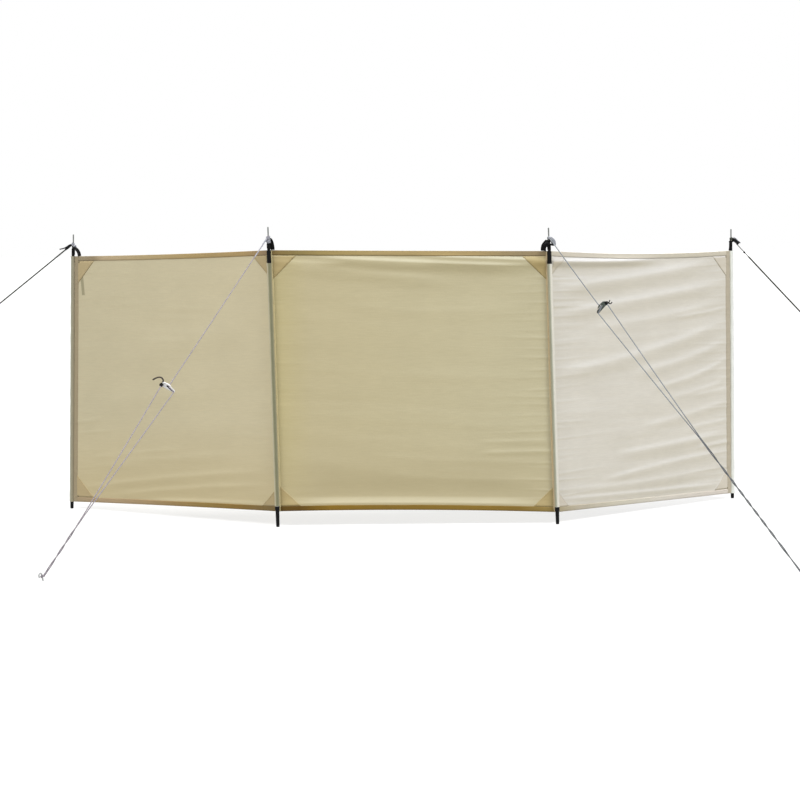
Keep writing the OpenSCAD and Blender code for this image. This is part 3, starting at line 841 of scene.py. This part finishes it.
# ---------------------------------------------------------------- webbing at the top corners
# Each strap: its way from the pin as (out from the pole, up from the fabric) in mm, its width in mm and
# how far it is twisted towards the front, in degrees
EYELET_UP = 57.5 * MM                     # from the fabric's top to the eyelets on the pins
STRAPS = [
    ([(-9, 57.5), (0, 57.5), (9, 51), (18, 43), (30, 35), (41, 22), (46, 9), (47, 1)], 20, -34),
    ([(-9, 57.5), (0, 57.5), (8, 58), (16, 48), (21, 34), (24, 18), (25, 1)], 22, 50),
    ([(-9, 57.5), (0, 57.5), (7, 48), (15, 40), (23, 32), (29, 20), (31, 1)], 24, 80),
    ([(-6, 57.5), (0, 57.5), (6, 55), (9, 44), (10, 26), (12, 12), (14.5, 1)], 11, 0),
]
WEB_T = 2 * MM
# The turns of webbing round each cap's neck: how many, and how far up each one climbs, in mm. Cap 4 has none.
NECK_TURNS = [(2.8, 13), (2.0, 11), (2.3, 12)]


def make_strap(i):
    """Doubled webbing in an arch from an eyelet on the pin to the fabric's top edge."""
    d = poles[i][1]
    if i in (0, 3):
        way = along[LEFT] if i == 0 else -along[RIGHT]
    else:
        way = unit(v3(math.sqrt(STRAP_REACH[i] ** 2 - BACK ** 2) * -SIDE[i], BACK, 0))
    cross = np.cross(d, way)
    steps, width, twist = STRAPS[i]
    path = resample([on_axis(i, TOP + up * MM) + way * out * MM for out, up in steps], 1.2 * MM)
    t = tangents(path)
    towards = -1 if np.dot(cross, (0, -1, 0)) < 0 else 1
    turn = math.radians(twist) * smooth(np.linspace(0, 1, len(path)), 0.05, 0.30)[:, None]
    across = np.cos(turn) * cross - towards * np.sin(turn) * np.cross(cross, t)
    under = slice(len(path) // 6, None)              # the inner layer starts past the pin
    inner = path[under] - np.cross(across, t)[under] * (WEB_T + 0.2 * MM)
    if i == 2:                                       # this one's two layers have slipped apart
        inner = inner + across[under] * 6 * MM
    layers = [band(path, across, width * MM, WEB_T), band(inner, across[under], (width - 1.5) * MM, WEB_T)]
    if i < 3:
        turns, climb = NECK_TURNS[i]
        wound = helix(on_axis(i, TOP + 8 * MM), d, -way, 8.8 * MM, turns, climb * MM)
        layers.append(band(wound, d, 14 * MM, WEB_T))
    piece(f"strap_{i + 1}_webbing", *join(layers), WEB, "webbing", [f"strap_{i + 1}"])
    ring = eyelet(on_axis(i, TOP + EYELET_UP), way, cross, d, PIN_R + 2.3 * MM, 1.5 * MM, 1.4 * MM, 29, 10)
    piece(f"strap_{i + 1}_eyelet", *ring, BRASS, "pin_steel")


def make_tie():
    """A loose tape that hangs from the patch behind the left bay's outer top corner."""
    t = np.linspace(0, 1, 60)
    (x0, s0), (x1, s1) = TIE_TOP, TIE_LOW
    path = cloth_point(LEFT, (x0 + (x1 - x0) * t) / WIDTH[LEFT] + 0.001 * np.sin(5 * t), s0 + (s1 - s0) * t)
    path = path - front[LEFT] * ((1.6 + 3.0 * np.sin(math.pi * t) ** 2) * MM)[:, None]
    piece("tie_tape", *band(path, along[LEFT], 18 * MM, 1 * MM), TAPE, "tie_tape", ["tie_strap"])


# ---------------------------------------------------------------- guy lines
OUTER_REACH = 2.04                        # from an outer pole to its peg
RING_Z = 14 * MM                          # height of the pegs' rings
COIL = 5.2 * MM                           # room for the turns of cord on a pin or a peg
LAY = 4.5 * MM * COARSE                   # steps along the straight parts of a line
SLIDER_FACE = SLIDER_T / 2


def backward(side, turn):
    """Where an outer line's peg lies from its pole: off to that side, and to the back by turn degrees."""
    return OUTER_REACH * v3(side * math.cos(math.radians(turn)), math.sin(math.radians(turn)), 0)


pegs_from = [backward(-1, 21.5), v3(-1.005, -1.775, 0), v3(1.005, -1.860, 0), backward(1, 42.5)]


class Guy:
    """One guy line. out points level towards its peg, d down the line, level across it, long and wide along
    and across its slider."""

    def __init__(self, i):
        self.i, self.pole, self.out = i, poles[i][1], unit(pegs_from[i])
        tilt, roll = math.radians(PEG_TILT), math.radians(SLIDER_ROLL[i])
        gap = COIL + CLEAR + CORD_R * math.sin(math.atan2(COIL_LOW, np.linalg.norm(pegs_from[i])))
        self.peg = foot_at[i] * v3(1, 1, 0) + pegs_from[i] + UPWARD * RING_Z
        self.peg_axis = self.out * math.sin(tilt) + UPWARD * math.cos(tilt)
        self.top = on_axis(i, COIL_LOW + 7.5 * MM) + self.out * (PIN_R + gap)
        self.low = self.peg + UPWARD * 5 * MM - self.out * (ROD_R + gap - 5 * MM * math.tan(tilt) - 0.4 * MM)
        self.d = unit(self.low - self.top)
        self.level = unit(v3(self.out[1], -self.out[0], 0)) * SIDE[i]
        raised = np.cross(self.level, self.d) * SIDE[i]
        self.long = self.level * math.cos(roll) - raised * math.sin(roll)
        self.wide = -np.cross(self.d, self.long) * SIDE[i]
        self.thick = (4.2 if i in (0, 3) else 2.8) * MM

    def share(self, t):
        """The point at a share of the line's length."""
        return self.top + (self.low - self.top) * t

    def at(self, x, y, down):
        """A point by the slider: x and y in shares of its length, down in metres along the line."""
        return self.share(SLIDER_AT[self.i]) + (self.long * x + self.wide * y) * SLIDER + self.d * down


def helix(centre, axis, start, radius, turns, rise):
    """A coil round an axis, from the direction start."""
    axis = unit(axis)
    x = unit(start - axis * np.dot(start, axis))
    a = np.linspace(0, math.tau * turns, int(turns * math.tau * radius / (2.2 * MM)))
    return centre + radius * circle(a, x, np.cross(axis, x)) + (rise * a / math.tau)[:, None] * axis


def knot(centre, axis, size, radius, seed):
    """A small overhand knot: one cord wound three times over itself along an axis."""
    axis = unit(axis)
    x = unit(np.cross(axis, (0.3, 0.2, 1)))
    t = np.linspace(0, math.tau, 90)
    wide = size * MM * (0.62 + 0.25 * np.cos(3 * t)) * np.random.default_rng(seed).uniform(0.9, 1.1)
    return rope(centre + wide[:, None] * circle(2 * t, x, np.cross(axis, x))
                + (size * MM * 0.75 * np.sin(3 * t))[:, None] * axis, radius * MM)


def sagged(a, b, drop=0.0):
    """A way from a to b that hangs down by drop in its middle."""
    t = np.linspace(0, 1, max(3, int(np.linalg.norm(b - a) / LAY)))[:, None]
    return a + (b - a) * t - UPWARD * drop * 4 * t * (1 - t)


def stray(centre, bends, radius, y=0):
    """A short loose cord: its way in mm as (x, z) from a centre, y off to the front, and its radius in mm."""
    return rope(resample([centre + v3(x, -y, z) * MM for x, z in bends], 3 * MM), radius * MM)


def strands(g):
    """A line's strands, one from the pin through the slider to the peg, one from there back to the slider."""
    apart = g.thick + 0.1 * MM
    face = SLIDER_FACE + CORD_R + CLEAR
    meet = g.share(MEET[g.i])
    inside = [g.at(-0.05, 0.18, -face), g.at(-0.05, 0.18, 0), g.at(-0.02, 0.178, face), g.at(0.2, 0.12, face),
              g.at(0.45, 0.06, face + 0.5 * MM)]
    upper = sagged(g.top + g.d * (LOOP - 6 * MM), inside[0], 1.5 * MM)
    through = resample(inside, 2 * MM)
    lower = sagged(inside[-1], meet + g.level * apart, 2 * MM)
    back = sagged(g.at(-0.43, -0.13, SLIDER_FACE + 3 * MM), meet - g.level * apart, 3 * MM)
    # past the point where they meet, they twist round each other down to the peg
    t = np.linspace(0, 1, max(8, int(np.linalg.norm(g.low - meet) / LAY)))
    turns = 1.5 if g.i == 1 else 4.5
    line = meet + (g.low - meet) * t[:, None]
    around = circle(math.tau * turns * smooth(t, 0.03, 1), g.level, np.cross(g.d, g.level)) * apart
    main = np.concatenate([upper, through[1:], lower[1:], (line + around)[1:]])
    radius = g.thick
    if g.i == 3:                                     # thinner as far as its first splice
        radius = np.interp(np.arange(len(main)) * LAY, [0.12, 0.14], [2.3 * MM, 4.7 * MM])
    begin = SLIDER_AT[g.i] * np.linalg.norm(g.low - g.top)
    return [rope(main, radius), rope(np.concatenate([back, (line - around)[1:]]), g.thick, begin=begin)]


def slider_end(g, kit):
    """The knot at the wide end of the slider, a band over the slot for the cord in it with painted shade on a
    sunlit slider and a painted highlight on a shaded one, and the tail.
    """
    k = g.at(-0.44, -0.13, SLIDER_FACE + 4.5 * MM)
    kit["knots"].append(knot(k, -g.d + g.wide * 0.2, 7.4, 3.6, 3 + g.i))
    on_face = SLIDER_FACE + 0.3 * MM
    slot = np.linspace(g.at(-0.16, 0.10, on_face), g.at(0.36, 0.02, on_face), 12)
    if g.i < 2:                                      # on a sunlit slider, a black band over the slot paints the cord in it and its shade
        kit["knots"].append(band(slot, g.wide, 12 * MM, 0.5 * MM))
        return stray(k, [(0, 0), (9, 20), (2, 35), (-14, 38), (-30, 33), (-44, 25)], 4.4)
    # on a shaded slider, a pale band over the slot paints the cord in it and a highlight on the plate, and
    # its tail has a second end
    kit["turns"].append(band(slot, g.wide, 10 * MM, 0.5 * MM))
    kit["knots"].append(stray(k, [(10, 0), (14, 8), (17, 15)], 2.8))
    return stray(k, [(0, 0), (8, 3), (15, -4), (23, -2), (28, 5)], 2.8)


# The outer lines' fat loops: how far they bow up, how far they drift off (x, z), their radii along the way,
# and where the stub of cord above them ends, all in mm
LOOPS = {0: (3.0, (0, 0), [5.5, 8.4, 9.0, 4.6], (31.9, 4.0)),
         3: (5.0, (7, 3.5), [9.0, 11.0, 10.0, 7.6], (12.1, 3.2))}


def outer_top(g, kit, heart):
    """One fat black loop, with a stub of grey cord above it."""
    bow, (drift, rise), radii, (out, up) = LOOPS[g.i]
    share = np.linspace(0, 1, len(heart))
    lift, shift = np.outer(np.sin(math.pi * share), UPWARD * bow), np.outer(share, v3(drift, 0, rise))
    heart = heart + (lift + shift) * MM
    fat = np.interp(share, [0, 0.15, 0.75, 1], radii)
    kit["lashing"].append(rope(heart, fat * MM, pitch=12 * MM, lobes=2, depth=0.10))
    stub = [heart[len(heart) // 2] + v3(0, 0, 6) * MM, heart[-1] + v3(SIDE[g.i] * 4, 0, 11) * MM,
            heart[-1] + v3(SIDE[g.i] * out, 0, up) * MM]
    kit["knots"].append(rope(resample(stub, 3 * MM), 3.4 * MM))
    if g.i == 0:
        by_cap = on_axis(0, CAP_HIGH - 3 * MM) + ASIDE * 9 * MM
        kit["turns"].append(knot(by_cap, g.pole - ASIDE * 0.5, 8.5, 3.4, 9))
    else:
        wound = helix(on_axis(3, CAP_HIGH - 9 * MM), g.pole, g.out, 10 * MM, 2.2, 5 * MM)
        kit["knots"] += [knot(g.top + g.d * 0.133, g.d, 4.6, 2.4, 14), rope(wound, 2.5 * MM)]
        kit["turns"].append(rope(heart[len(heart) // 5:] + v3(0, -8, 14) * MM, 2.6 * MM))


def left_top(g, kit, heart):
    """Pale turns round the neck and the pin, then a pale stretch."""
    neck = helix(on_axis(g.i, TOP + 39 * MM), g.pole, g.out, 10.2 * MM, 3.4, 4.9 * MM)
    over = helix(on_axis(g.i, COIL_LOW + 1 * MM), g.pole + 0.25 * g.out, -g.out, 9.4 * MM, 3.0, 4.8 * MM)
    kit["turns"] += [rope(neck, 2.4 * MM, sides=9), rope(over, 2.5 * MM, sides=9),
                     knot(on_axis(g.i, TOP + 48 * MM) + g.out * 9 * MM, g.pole + ASIDE * 0.3, 8.0, 2.8, 10)]
    stretch = sagged(g.top + g.d * LOOP * 0.8, g.top + g.d * (LOOP + 110 * MM))
    for way, shift in ((heart, 2.2), (heart, -2.2), (stretch, 2.5)):
        kit["lashing"].append(rope(way + g.level * shift * MM, 2.6 * MM))


def right_top(g, kit, heart):
    """Loose turns that hang to the right of the neck, the outer ones pale and the inner ones dark, painted
    shade.
    """
    kit["knots"].append(knot(on_axis(g.i, TOP + 37 * MM) - v3(12, 8, 0) * MM, g.pole + ASIDE, 12, 5.6, 12))
    bend = np.radians(np.linspace(98, -20, 30))
    for ring, kind in enumerate(("turns", "turns", "cord", "knots", "knots")):
        arc = on_axis(g.i, TOP + 41 * MM) + (34 - 5 * ring) * MM * circle(bend, ASIDE, g.pole)
        kit[kind].append(rope(arc - v3(0, 9 + 1.5 * ring, 0) * MM, 2.8 * MM))
    kit["knots"].append(stray(on_axis(g.i, TOP + 39 * MM), [(2, 0), (16, -7), (32, -6)], 4.0, y=14))
    for shift in (1.8, -1.8):
        kit["lashing"].append(rope(heart + g.level * shift * MM, 2.2 * MM))


def make_guy(i):
    """A guy line from end to end, with what is wound round its pin and its peg."""
    g = Guy(i)
    kit = {"cord": strands(g), "knots": [], "lashing": [], "turns": []}
    tail = slider_end(g, kit)
    dress = (outer_top, left_top, right_top, outer_top)[i]
    dress(g, kit, sagged(g.top + g.d * 2 * MM, g.top + g.d * LOOP))
    # the turns round the pin with their hitch to the line, and the turns round the peg
    off = CORD_R + 0.3 * MM
    wound = helix(on_axis(i, COIL_LOW + CORD_R), g.pole, g.out + 0.4 * g.level, PIN_R + off, 3.2, 4.6 * MM)
    halfway = (wound[-1] + g.top) / 2 + g.pole * 2 * MM
    hitch = resample([wound[-1], halfway, g.top + g.d * 6 * MM, g.top + g.d * 14 * MM], 2 * MM)
    kit["turns" if i == 0 else "cord"].append(rope(np.concatenate([wound, hitch[1:]]), CORD_R, sides=10))
    above = g.peg + g.peg_axis * 2.5 * MM
    loop = helix(above, g.peg_axis, -g.out - 0.4 * g.level, ROD_R + off, 2.0, 5 * MM)
    kit["cord"].append(rope(loop, CORD_R, sides=10))
    # the same cord painted light and dark: pale where sunlit at pole 2, in painted shade on the outer lines
    # and at pole 3
    materials = {"cord": (CORD_OUTER, CORD, CORD_SHADED, CORD_OUTER)[i], "knots": LASHING,
                 "lashing": (LASHING, CORD_PALE, CORD_SHADED, LASHING)[i], "turns": CORD_PALE}
    name = f"guy_{i + 1}"
    for kind, material in materials.items():
        piece(f"{name}_{kind}", *join(kit[kind]), material, "guy_cord", [name] if kind == "cord" else ())
    piece(f"{name}_tail", *tail, TAIL if i < 2 else LASHING, "guy_cord")


# ---------------------------------------------------------------- camera, light and floor
scene = bpy.context.scene
camera = bpy.data.objects.new("camera", bpy.data.cameras.new("camera"))
scene.collection.objects.link(camera)
camera.data.sensor_width, camera.data.lens, camera.data.clip_end = 36, 109.93, 200
camera.location = (0.669, -13.0, 1.768)
TURN, DIP, ROLL = 0.034, 4.80, -0.57      # where the camera looks, in degrees
turned, tilted, rolled = (Matrix.Rotation(math.radians(angle), 3, axis)
                          for angle, axis in ((TURN, "Z"), (90 - DIP, "X"), (ROLL, "Z")))
camera.rotation_euler = (turned @ tilted @ rolled).to_euler()
scene.camera = camera
scene.view_settings.view_transform = "Standard"


def lamp(name, direction, strength, colour, angle):
    """A sun that shines from a direction."""
    light = bpy.data.lights.new(name, "SUN")
    light.energy, light.color, light.angle = strength, colour, angle
    obj = bpy.data.objects.new(name, light)
    scene.collection.objects.link(obj)
    obj.rotation_euler = Vector(direction).to_track_quat("Z", "Y").to_euler()


lamp("key", (0.45, -0.40, 0.80), 2.3, (1.0, 0.99, 0.97), 0.35)
lamp("fill", (-0.50, -0.50, 0.75), 1.8, (1.0, 0.99, 0.97), 0.5)
lamp("rear", (0.25, 0.80, 0.70), 1.3, (1.0, 1.0, 1.0), 0.6)


def seen_ray(m):
    """1 for what the camera sees straight, in a gloss or through something clear, and 0 for plain light."""
    ray = m.add("LightPath").outputs
    straight = m.math("MAXIMUM", ray["Is Camera Ray"], ray["Is Glossy Ray"])
    return m.math("MAXIMUM", straight, ray["Is Transmission Ray"])


sky = Nodes(bpy.data.worlds.new("world"))
scene.world = sky.block
soft = sky.tree.nodes["Background"]
soft.inputs["Color"].default_value = (0.96, 0.98, 1.0, 1)
soft.inputs["Strength"].default_value = 0.40
white = sky.add("Background")
white.inputs["Color"].default_value = (1, 1, 1, 1)
sky.join("MixShader", "World Output", seen_ray(sky), soft.outputs[0], white.outputs[0])

FAR = 60                                  # the floor reaches past what any view shows
floor_mesh = bpy.data.meshes.new("floor")
floor_mesh.from_pydata([(-FAR, -FAR, 0), (FAR, -FAR, 0), (FAR, FAR, 0), (-FAR, FAR, 0)], [], [(0, 1, 2, 3)])
floor = bpy.data.objects.new("floor", floor_mesh)
scene.collection.objects.link(floor)
ground = Nodes(bpy.data.materials.new("floor"))
ground.shader.inputs["Base Color"].default_value = (0.40, 0.40, 0.40, 1)
ground.shader.inputs["Roughness"].default_value = 1.0
ground.shader.inputs["Specular IOR Level"].default_value = 0.0
glow = ground.add("Emission")             # brings the floor up to the background's white, bar its shadow
ground.link(ground.times(seen_ray(ground), 0.58), glow.inputs["Strength"])
ground.join("AddShader", "Material Output", ground.shader.outputs[0], glow.outputs[0])
floor_mesh.materials.append(ground.block)

# ---------------------------------------------------------------- the pieces
panels = [make_panel(b) for b in range(3)]
trims = {b: [] for b in range(3)}
for b in range(3):
    for top in (True, False):
        trims[b] += make_hem(b, top)
        for right in (0, 1):
            trims[b] += make_patch(b, right, top)
for i in range(4):
    make_sleeve(i)
    make_strap(i)
make_tie()
for i in range(4):
    make_guy(i)
corners = [(b, u, s) for b, u in ((LEFT, 0.022), (RIGHT, 0.978)) for s in (TOP - 33 * MM, 33 * MM)]
for k, (b, u, s) in enumerate(corners):      # small eyelets pressed through the cloth's outer corners
    ring = eyelet(cloth_point(b, u, s), along[b], UPWARD, front[b], 4.2 * MM, 1.7 * MM, 2.1 * MM, 25, 12)
    trims[b].append(piece(f"corner_eyelet_{k + 1}", *ring, BRASS, "pin_steel"))
